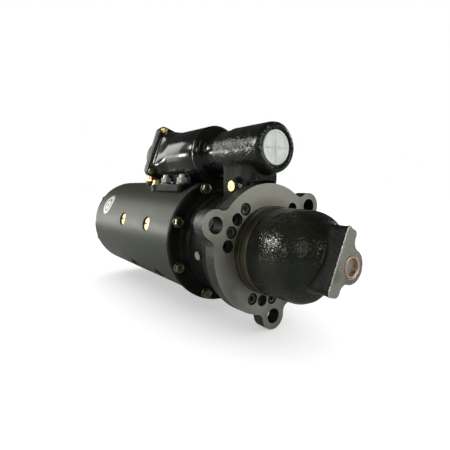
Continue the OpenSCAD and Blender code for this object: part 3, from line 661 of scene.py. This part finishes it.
def lathe(profile, count=160, closed=False):
    """Rings about Z from (radius, z) pairs."""
    return rings_to_mesh([circle(r, z, count) for r, z in profile], closed)


def moved(part, matrix):
    verts, faces = part
    return [matrix @ v for v in verts], faces


def joined(parts):
    verts, faces = [], []
    for part_verts, part_faces in parts:
        base = len(verts)
        verts.extend(part_verts)
        faces.extend([tuple(base + i for i in f) for f in part_faces])
    return verts, faces


def hex_top(across, height, dish=0.0, bore=0.0):
    """A hexagon with its corners chamfered, dished in the middle or bored."""
    hexa = hexagon(across)
    flat = across / 2 * 0.94
    slope = math.tan(math.radians(30))

    def top(angle):
        return height - max(0.0, hexa(angle) - flat) * slope

    rings = [circle(across * 0.46, 0), circle(across * 0.485, height * 0.07),
             circle(hexa, height * 0.12), circle(hexa, top), circle(flat, height)]
    if bore:
        rings += [circle(bore * 1.12, height), circle(bore, height - 0.12 * bore), circle(bore, 0)]
        return rings_to_mesh(rings, True)
    if dish:
        rings += [circle(across * 0.33, height), circle(across * 0.29, height - dish)]
    rings += [circle(across * 0.12, height - dish), circle(0, height - dish)]
    return rings_to_mesh([circle(0, 0)] + rings, False)


def washer(inner, outer, thick):
    edge = thick * 0.25
    return rings_to_mesh([circle(inner, 0), circle(outer - edge, 0), circle(outer, edge),
                          circle(outer, thick - edge), circle(outer - edge, thick),
                          circle(inner, thick)], True)


def thread(radius, length, pitch, count=32):
    """A threaded stud end with a chamfered tip, from z = 0."""
    rings = [circle(0, 0, count), circle(radius, 0, count)]
    turns = int(length / pitch)
    depth = pitch * 0.45
    for k in range(turns):
        z = k * pitch
        rings += [circle(radius, z + pitch * 0.15, count), circle(radius - depth, z + pitch * 0.5, count),
                  circle(radius, z + pitch * 0.85, count)]
    rings += [circle(radius - depth * 1.3, length, count), circle(0, length, count)]
    return rings_to_mesh(rings, False)


def drum_head(radius, height, slot=0.0):
    """A cheese head with a rounded rim; slot is its screwdriver slot's width."""
    bead = height * 0.3
    profile = [(0, 0), (radius, 0), (radius, height - bead), (radius - bead * 0.3, height - bead * 0.3),
               (radius - bead, height), (radius * 0.35, height), (0, height)]
    verts, faces = lathe(profile, 64)
    if slot:
        deep = height * 0.45
        for v in verts:
            if v.z > height * 0.9 and abs(v.y) < slot:
                v.z -= deep * min(1.0, max(0.0, (slot - abs(v.y)) / (slot * 0.5)))
    return verts, faces


def socket_head(radius, height, across, deep):
    """Cap screw head with a hexagon socket and a chamfered rim."""
    hexa = hexagon(across)
    rings = [circle(0, 0), circle(radius, 0), circle(radius, height - 0.0007),
             circle(radius - 0.0006, height), circle(across * 0.64, height),
             circle(hexa, height - 0.0004), circle(hexa, height - deep), circle(0, height - deep - 0.0006)]
    return rings_to_mesh(rings, False)


def voxel_copy(name, size):
    """The CAD node's outer shape as evenly spaced points, for a cast surface."""
    copy = bpy.data.objects.new("voxel_source", nodes[name].data.copy())
    bpy.context.scene.collection.objects.link(copy)
    mod = copy.modifiers.new("voxel", "REMESH")
    mod.mode = "VOXEL"
    mod.voxel_size = size
    graph = bpy.context.evaluated_depsgraph_get()
    mesh = bpy.data.meshes.new_from_object(copy.evaluated_get(graph))
    bpy.data.objects.remove(copy)
    return mesh


def points_of(mesh):
    co = np.empty(len(mesh.vertices) * 3)
    mesh.vertices.foreach_get("co", co)
    return co.reshape(-1, 3)


def relax(mesh, passes, weight):
    """Laplacian smoothing; weight gives each point's share, 0 to stay put."""
    co = points_of(mesh)
    ends = np.empty(len(mesh.edges) * 2, dtype=np.int64)
    mesh.edges.foreach_get("vertices", ends)
    a, b = ends.reshape(-1, 2).T
    count = np.bincount(np.concatenate((a, b)), minlength=len(co))[:, None]
    for _ in range(passes):
        total = np.zeros_like(co)
        for k in range(3):
            total[:, k] = (np.bincount(a, co[b, k], len(co)) + np.bincount(b, co[a, k], len(co)))
        co += weight[:, None] * 0.5 * (total / count - co)
    mesh.vertices.foreach_set("co", co.ravel())
    mesh.update()
    return co


def roughen(mesh, scale, height, weight):
    """Uneven casting skin: smooth noise along the normals, inwards only."""
    normals = np.empty(len(mesh.vertices) * 3)
    mesh.vertices.foreach_get("normal", normals)
    normals = normals.reshape(-1, 3)
    co = points_of(mesh)
    lift = np.array([noise.noise(Vector(p) * scale) for p in co])
    co += normals * ((lift - 1.0) * 0.5 * height * weight)[:, None]
    mesh.vertices.foreach_set("co", co.ravel())
    mesh.update()


def keep_faces(mesh, wanted):
    """Drops the faces whose centre fails wanted(centre)."""
    bm = bmesh.new()
    bm.from_mesh(mesh)
    drop = [f for f in bm.faces if not wanted(f.calc_center_median())]
    bmesh.ops.delete(bm, geom=drop, context="FACES")
    bm.to_mesh(mesh)
    bm.free()


# ---------------------------------------------------------------- castings


def mount_holes():
    """Centres of the three mounting holes, from the record's bolt pattern."""
    pattern = [m for m in record["mounts"] if m["kind"] == "bolt_pattern"][0]
    radius = pattern["dims"]["pcd_mm"] / 2 * MM
    angles = [LOBE + math.tau * k / 3 for k in range(3)]
    return [Vector((0, radius * math.cos(a), radius * math.sin(a))) for a in angles]


def nose():
    """Turned flange and pilot, kept crisp, with the cast dome and end boss behind them."""
    flange = nodes["nose_housing"].data.copy()
    bm = bmesh.new()
    bm.from_mesh(flange)
    bmesh.ops.remove_doubles(bm, verts=bm.verts, dist=1e-6)
    bmesh.ops.bisect_plane(bm, geom=bm.verts[:] + bm.edges[:] + bm.faces[:], dist=1e-7,
                           plane_co=(16.5 * MM, 0, 0), plane_no=(1, 0, 0), clear_outer=True)
    bmesh.ops.dissolve_limit(bm, angle_limit=0.002, verts=bm.verts, edges=bm.edges)
    bm.to_mesh(flange)
    bm.free()
    flange.materials.clear()
    soften(flange, 30)
    obj = place_piece("nose_flange", flange, "machined_iron", "nose_housing", False)
    flange.materials.append(MATERIALS["sand_cast"])
    flange.materials.append(MATERIALS["oily_iron"])
    flange.materials.append(MATERIALS["rough_cast"])
    for poly in flange.polygons:
        corners = [flange.vertices[i].co for i in poly.vertices]
        reach = max(math.hypot(c.y, c.z) for c in corners)
        if max(abs(c.x) for c in corners) < 0.05 * MM:
            poly.material_index = 0
        elif reach < 46.5 * MM and max(c.x for c in corners) > 0.1 * MM:
            poly.material_index = 2
        # Painted shade: faces in and around the mounting holes take the darker, dull rough_cast.
        elif any((c - hole).yz.length < 8.6 * MM for c in corners for hole in mount_holes()):
            poly.material_index = 3
        else:
            poly.material_index = 1
    bevel = obj.modifiers.new("bevel", "BEVEL")
    bevel.width = 0.0006
    bevel.segments = 2
    bevel.limit_method = "ANGLE"
    bevel.angle_limit = math.radians(50)
    obj.modifiers.new("normals", "WEIGHTED_NORMAL").keep_sharp = True

    cast = voxel_copy("nose_housing", 1.1 * MM)
    keep_faces(cast, lambda c: c.x > 12.0 * MM)
    co = points_of(cast)
    free = np.clip((co[:, 0] - 13 * MM) / (6 * MM), 0, 1)
    face = np.clip((NOSE_TIP - 1.2 * MM - co[:, 0]) / (3.0 * MM), 0.12, 1)
    relax(cast, 14, free * face)
    roughen(cast, 110, 0.7 * MM, free * face)
    cast.materials.clear()
    soften(cast, 75)
    place_piece("nose_casting", cast, "dome_paint", "nose_housing")
    cast.materials.append(MATERIALS["rough_cast"])
    for poly in cast.polygons:
        side = min(poly.center.dot(CLOSED_SIDE) / (18 * MM), poly.normal.dot(CLOSED_SIDE) / 0.86)
        if side > 1 and poly.center.x > 70 * MM:
            poly.material_index = 1


def pilot_band():
    """The turned band between the pilot and the painted dome."""
    profile = [(44.2, 7.2), (45.2, 7.4), (45.2, 16.0), (44.9, 16.5), (44.4, 16.7)]
    part = lathe([(r * MM, x * MM) for r, x in profile], 192, False)
    piece("nose_band", *moved(part, stand((0, 0, 0), X_AXIS)), "oily_iron", "nose_housing", False)


def dull_flats(mesh, low, high):
    """Gives everything below low, and the upright sides up to high, the dull cast finish."""
    mesh.materials.append(MATERIALS["rough_cast"])
    for poly in mesh.polygons:
        side = abs(poly.normal.y) > 0.9 and poly.center.z < high
        if side or poly.center.z < low:
            poly.material_index = 1


def lever_casting():
    """The black drive housing as a sand casting with filleted corners."""
    cast = voxel_copy("lever_housing", 1.15 * MM)
    co = points_of(cast)
    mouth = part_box("access_plug")[1][0]
    weight = np.ones(len(co))
    weight[co[:, 0] < -84 * MM] = 0.25
    tube = np.hypot(co[:, 1], co[:, 2] - SOL_Z)
    weight[(co[:, 0] > mouth - 5 * MM) & (tube < 22 * MM)] = 0.2
    relax(cast, 12, weight)
    roughen(cast, 90, 0.6 * MM, weight)
    cast.materials.clear()
    soften(cast, 75)
    place_piece("drive_housing", cast, "cast_paint", "lever_housing")
    dull_flats(cast, 62 * MM, 90 * MM)


def bracket_casting():
    cast = voxel_copy("solenoid_bracket", 0.7 * MM)
    relax(cast, 8, np.ones(len(cast.vertices)))
    roughen(cast, 120, 0.3 * MM, np.ones(len(cast.vertices)))
    cast.materials.clear()
    soften(cast, 75)
    place_piece("foot_bracket", cast, "cast_paint", "solenoid_bracket")
    dull_flats(cast, 60 * MM, 90 * MM)


def rear_cover():
    """Cast face of the commutator end cap: rim bead, six ribs and a hub with its oil plug."""
    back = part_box("end_cap")[0][0]
    room = back - cad_box[0][0] - 0.1 * MM
    count = 360

    def height(radius):
        def level(angle):
            share = 0.12
            if radius > 53 * MM:
                share = 0.42
            if radius < 20 * MM:
                share = 0.92
            off = abs((angle + math.pi / 6) % (math.pi / 3) - math.pi / 6)
            if 18 * MM < radius < 55 * MM:
                share = max(share, 0.55 * min(1.0, max(0.0, math.radians(4.2) - off) / math.radians(1.1)))
            return room * share
        return level

    steps = [57.5, 57.1, 53.4, 52.6, 48, 43, 38, 33, 28, 24, 21.2, 20.2, 19.4, 18.6, 12.4, 12.2]
    rings = [circle(57.5 * MM, 0, count)]
    rings += [circle(r * MM, height(r * MM), count) for r in steps]
    rings += [circle(11.8 * MM, room * 0.55, count), circle(7 * MM, room * 0.55, count)]
    rings += [circle(6.7 * MM, room * 0.86, count), circle(6.1 * MM, room * 0.95, count)]
    rings += [circle(2.6 * MM, room * 0.95, count), circle(2.3 * MM, room * 0.60, count)]
    rings.append(circle(0, room * 0.60))
    verts, faces = rings_to_mesh([circle(0, 0)] + rings, False)
    turned = moved((verts, faces), stand((back, 0, 0), -X_AXIS))
    piece("rear_cover", *turned, "cast_paint", "end_cap", False, 30)


# ---------------------------------------------------------------- solenoid


def rounded_square(half, corner):
    """Polar radius of a square with rounded corners."""
    def radius(angle):
        c, s = abs(math.cos(angle)), abs(math.sin(angle))
        if c < s:
            c, s = s, c
        inner = half - corner
        if s / c * half <= inner:
            return half / c
        return inner * (c + s) + math.sqrt(max(0.0, corner ** 2 - (inner * (c - s)) ** 2))
    return radius


def mixed(a, b, share):
    """A polar radius between a and b, each a number or a function."""
    def radius(angle):
        ra = a(angle) if callable(a) else a
        rb = b(angle) if callable(b) else b
        return ra + (rb - ra) * share
    return radius


def around_solenoid(x, radius, count=224, tilt=math.radians(-20)):
    """A ring about the solenoid's axis that stays clear of the field frame."""
    ring = []
    for i in range(count):
        angle = 2 * math.pi * i / count
        r = radius(angle) if callable(radius) else radius
        y, z = r * math.cos(angle + tilt), r * math.sin(angle + tilt)
        gap = math.hypot(y, z + SOL_Z) - (FIELD_R + 0.8 * MM)
        if gap < 0:
            reach = math.hypot(y, z + SOL_Z)
            y, z = y * (reach - gap) / reach, (z + SOL_Z) * (reach - gap) / reach - SOL_Z
        ring.append(Vector((x, y, z + SOL_Z)))
    return ring


def solenoid_can():
    """A deep-drawn can that turns from round to square and out into its flange."""
    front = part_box("solenoid_case")[1][0]
    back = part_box("solenoid_case")[0][0]
    body = SOL_R - 0.1 * MM
    neck = rounded_square(31.6 * MM, 15 * MM)
    lip = rounded_square(36.0 * MM, 8 * MM)
    rings = [around_solenoid(front, body - 0.8 * MM), around_solenoid(front - 0.3 * MM, body - 0.2 * MM),
             around_solenoid(front - 0.9 * MM, body)]
    flare, foot = back + 42 * MM, back + 11 * MM
    rings.append(around_solenoid((front + flare) / 2, body))
    steps = 18
    for k in range(steps + 1):
        t = k / steps
        rings.append(around_solenoid(flare + (foot - flare) * t, mixed(body, neck, t * t * (3 - 2 * t))))
    sweep = 8
    root = back + 4 * MM
    for k in range(1, sweep + 1):
        a = math.pi / 2 * k / sweep
        share = 1 - math.cos(a)
        rings.append(around_solenoid(foot + (root - foot) * math.sin(a),
                                     mixed(neck, mixed(neck, lip, 0.86), share)))
    rings += [around_solenoid(root, mixed(neck, lip, 0.93)),
              around_solenoid(root - 0.2 * MM, mixed(neck, lip, 0.985)),
              around_solenoid(root - 0.8 * MM, lip), around_solenoid(back + 0.5 * MM, lip),
              around_solenoid(back, mixed(neck, lip, 0.94)), around_solenoid(back, 27 * MM),
              around_solenoid(back + 3 * MM, 27 * MM), around_solenoid(back + 5 * MM, 30.5 * MM),
              around_solenoid(front, 31.2 * MM)]
    verts, faces = rings_to_mesh(rings, True)
    piece("solenoid_can", verts, faces, "black_paint", "solenoid_case", angle=50)


def solenoid_neck():
    """The turned front ring: a shoulder, a slope and a hollow neck into the housing."""
    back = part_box("solenoid_case")[1][0]
    ring = back + 6 * MM
    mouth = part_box("lever_housing")[0][0] + 16 * MM
    body = SOL_R
    profile = [(31.0 * MM, back), (body - 0.5 * MM, back + 0.2 * MM), (body, back + 0.9 * MM),
               (body, ring - 1.2 * MM), (body - 0.35 * MM, ring - 0.35 * MM), (body - 1.1 * MM, ring),
               (31.4 * MM, ring + 2.2 * MM), (30.6 * MM, ring + 4.2 * MM), (29.0 * MM, ring + 5.4 * MM),
               (26.0 * MM, ring + 6.1 * MM), (24.2 * MM, ring + 6.8 * MM), (23.2 * MM, ring + 8.0 * MM),
               (22.5 * MM, ring + 10 * MM), (22.5 * MM, mouth + 2 * MM), (15.2 * MM, mouth + 2 * MM),
               (15.2 * MM, back)]
    part = lathe(profile, 192, True)
    piece("solenoid_neck", *moved(part, stand((0, 0, SOL_Z), X_AXIS)),
          "black_paint", "solenoid_front_ring", angle=50)


def cover_plug():
    """The pressed access plug: a raised rim and cross, with shallow dished quarters."""
    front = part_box("access_plug")[1][0]
    radius = 17.0 * MM
    count, steps = 240, 44
    rings = []
    for k in range(steps + 1):
        r = radius * (1 - k / steps)
        if r < 0.2 * MM:
            r = 0

        def depth(angle, r=r):
            y, z = r * math.cos(angle), r * math.sin(angle)
            arm = min(abs(y), abs(z)) / MM
            rib = max(0.0, 1 - max(0.0, arm - 0.45) / 0.55)
            rim = max(0.0, 1 - max(0.0, radius - r - 1.6 * MM) / (0.9 * MM))
            hub = 0.18 * max(0.0, 1 - abs(r - 9.5 * MM) / (0.8 * MM))
            dish = 0.25 * (1 - (r / radius) ** 2)
            return front - 1.0 * MM * (1 - max(rib, rim, hub)) - dish * MM * (1 - rib)
        if r == 0:
            rings.append([Vector((0, 0, front))])
        else:
            rings.append(circle(r, depth, count))
    edge = [circle(radius + 0.5 * MM, front - 2.6 * MM, count),
            circle(radius + 0.2 * MM, front - 0.7 * MM, count)]
    back = [circle(0, front - 4 * MM, count), circle(radius + 0.5 * MM, front - 4 * MM, count)]
    verts, faces = rings_to_mesh(back + edge + rings, False)
    turn = stand((0, 0, SOL_Z), X_AXIS)
    piece("cover_plug", *moved((verts, faces), turn), "plug_steel", "access_plug", angle=60)


# ---------------------------------------------------------------- fasteners


def at_solids(name, axis, seat, build):
    """One copy of build() on each solid of a node, at its low or high end along axis."""
    parts = []
    axis = Vector(axis)
    for k, points in enumerate(solids(name)):
        centre = middle(points)
        reach = points @ np.array(axis)
        level = reach.max() if seat == "high" else reach.min()
        origin = centre + axis * (level - centre.dot(axis))
        parts.append(moved(build(k), stand(origin, axis, 0.9 * k)))
    return joined(parts)


def housing_bolts():
    head = 4.4 * MM

    def bolt(k):
        return moved(hex_top(10 * MM, head, 0.5 * MM), Matrix.Translation((0, 0, -head)))
    verts, faces = at_solids("lever_housing_bolts", (1, 0, 0), "high", bolt)
    piece("housing_bolt_heads", verts, faces, "olive_zinc", "lever_housing_bolts", angle=28)

    def ring(k):
        return moved(washer(3.1 * MM, 6.4 * MM, 1.2 * MM), Matrix.Translation((0, 0, -1.2 * MM)))
    verts, faces = at_solids("lever_housing_washers", (1, 0, 0), "high", ring)
    piece("housing_bolt_washers", verts, faces, "olive_zinc", "lever_housing_washers", angle=28)


def rear_bolts():
    head = 4.2 * MM

    def bolt(k):
        return moved(hex_top(10 * MM, head, 0.5 * MM), Matrix.Translation((0, 0, -head)))
    verts, faces = at_solids("end_cap_bolts", (-1, 0, 0), "high", bolt)
    piece("rear_bolt_heads", verts, faces, "yellow_zinc", "end_cap_bolts", angle=28)


def flange_screws():
    height = 5.6 * MM

    def screw(k):
        return moved(socket_head(5.2 * MM, height, 5.4 * MM, 3.4 * MM), Matrix.Translation((0, 0, -height)))
    verts, faces = at_solids("nose_screws", (1, 0, 0), "high", screw)
    piece("flange_socket_screws", verts, faces, "dark_steel", "nose_screws", angle=28)


def corner_screws():
    height = 3.4 * MM

    def screw(k):
        return moved(drum_head(4.3 * MM, height, 0.9 * MM), Matrix.Translation((0, 0, -height)))
    verts, faces = at_solids("cap_screws", (1, 0, 0), "high", screw)
    piece("corner_screw_heads", verts, faces, "yellow_zinc", "cap_screws", angle=35)


def foot_nuts():
    tall = 6.8 * MM

    def nut(k):
        return moved(hex_top(13 * MM, tall, 0, 4.0 * MM), Matrix.Translation((0, 0, -tall)))
    verts, faces = at_solids("bracket_nuts", (0, 0, 1), "high", nut)
    piece("foot_nuts", verts, faces, "silver_zinc", "bracket_nuts", angle=28)

    def ring(k):
        return moved(washer(4.0 * MM, 7.6 * MM, 1.6 * MM), Matrix.Translation((0, 0, -1.6 * MM)))
    verts, faces = at_solids("bracket_washers", (0, 0, 1), "high", ring)
    piece("foot_washers", verts, faces, "yellow_zinc", "bracket_washers", angle=28)

    def stud(k):
        return moved(thread(3.95 * MM, 19 * MM, 1.25 * MM), Matrix.Translation((0, 0, -19 * MM)))
    verts, faces = at_solids("bracket_studs", (0, 0, 1), "high", stud)
    piece("foot_studs", verts, faces, "silver_zinc", "bracket_studs", angle=35)


def terminal_hardware():
    def nut(across, tall, bore):
        return moved(hex_top(across, tall, 0, bore), Matrix.Translation((0, 0, -tall)))

    parts = []
    for points in solids("terminal_nuts"):
        tall = points[:, 0].max() - points[:, 0].min()
        origin = middle(points) - X_AXIS * tall / 2
        parts.append(moved(nut(18 * MM, tall, 6.0 * MM), stand(origin, (-1, 0, 0), 0.3)))
    piece("stud_nuts", *joined(parts), "yellow_zinc", "terminal_nuts", angle=28)

    parts = []
    for points in solids("switch_nuts"):
        high = points[:, 0].max() - points[:, 0].min()
        wide = points[:, 1].max() - points[:, 1].min()
        origin = middle(points) - X_AXIS * high / 2
        parts.append(moved(nut(wide * 0.93, high, 2.5 * MM), stand(origin, (-1, 0, 0), 0.2)))
    piece("small_nuts", *joined(parts), "yellow_zinc", "switch_nuts", angle=28)

    for node, radius, pitch, material in (("main_terminals", 5.95, 1.5, "copper"),
                                          ("switch_terminals", 2.45, 0.8, "brass")):
        parts = []
        for points in solids(node):
            rear, front = points[:, 0].min(), points[:, 0].max()
            shank = points[points[:, 0] < rear + 2 * MM]
            centre = middle(shank)
            length = front - rear - (4 * MM if node == "main_terminals" else 0)
            origin = Vector((rear + length, centre.y, centre.z))
            parts.append(moved(thread(radius * MM, length, pitch * MM), stand(origin, (-1, 0, 0))))
            if node == "main_terminals":
                head = moved(hex_top(15.6 * MM, 4 * MM), stand((front, centre.y, centre.z), (-1, 0, 0)))
                parts.append(head)
        piece(node + "_threaded", *joined(parts), material, node, angle=35)


def refine(name, material, width=0.35):
    """Bevelled edges and even shading on a carried-over CAD node."""
    obj = nodes[name]
    obj.data.materials.clear()
    obj.data.materials.append(MATERIALS[material])
    weld = obj.modifiers.new("weld", "WELD")
    weld.merge_threshold = 1e-6
    bevel = obj.modifiers.new("bevel", "BEVEL")
    bevel.width = width * MM
    bevel.segments = 2
    bevel.limit_method = "ANGLE"
    bevel.angle_limit = math.radians(40)
    shade = obj.modifiers.new("normals", "WEIGHTED_NORMAL")
    shade.keep_sharp = True


place_camera()
studio()
nose()
pilot_band()
lever_casting()
bracket_casting()
rear_cover()
solenoid_can()
solenoid_neck()
cover_plug()
housing_bolts()
rear_bolts()
flange_screws()
corner_screws()
foot_nuts()
terminal_hardware()

# Finishes that differ from the ones the frame's slots name.
FINISHES = {"housing_plug": "steel", "pole_screws": "brass"}
BEVELS = {"field_frame": 0.5, "end_cap": 0.6, "lever_pivot": 0.5, "housing_plug": 0.5}
replaced = {"nose_housing", "lever_housing", "solenoid_bracket", "solenoid_case", "solenoid_front_ring",
            "access_plug", "lever_housing_bolts", "lever_housing_washers", "end_cap_bolts", "nose_screws",
            "cap_screws", "bracket_nuts", "bracket_washers", "bracket_studs", "terminal_nuts",
            "switch_nuts", "main_terminals", "switch_terminals"}
for name in sorted(nodes):
    if name not in replaced:
        refine(name, FINISHES.get(name, slot_of[name]), BEVELS.get(name, 0.25))
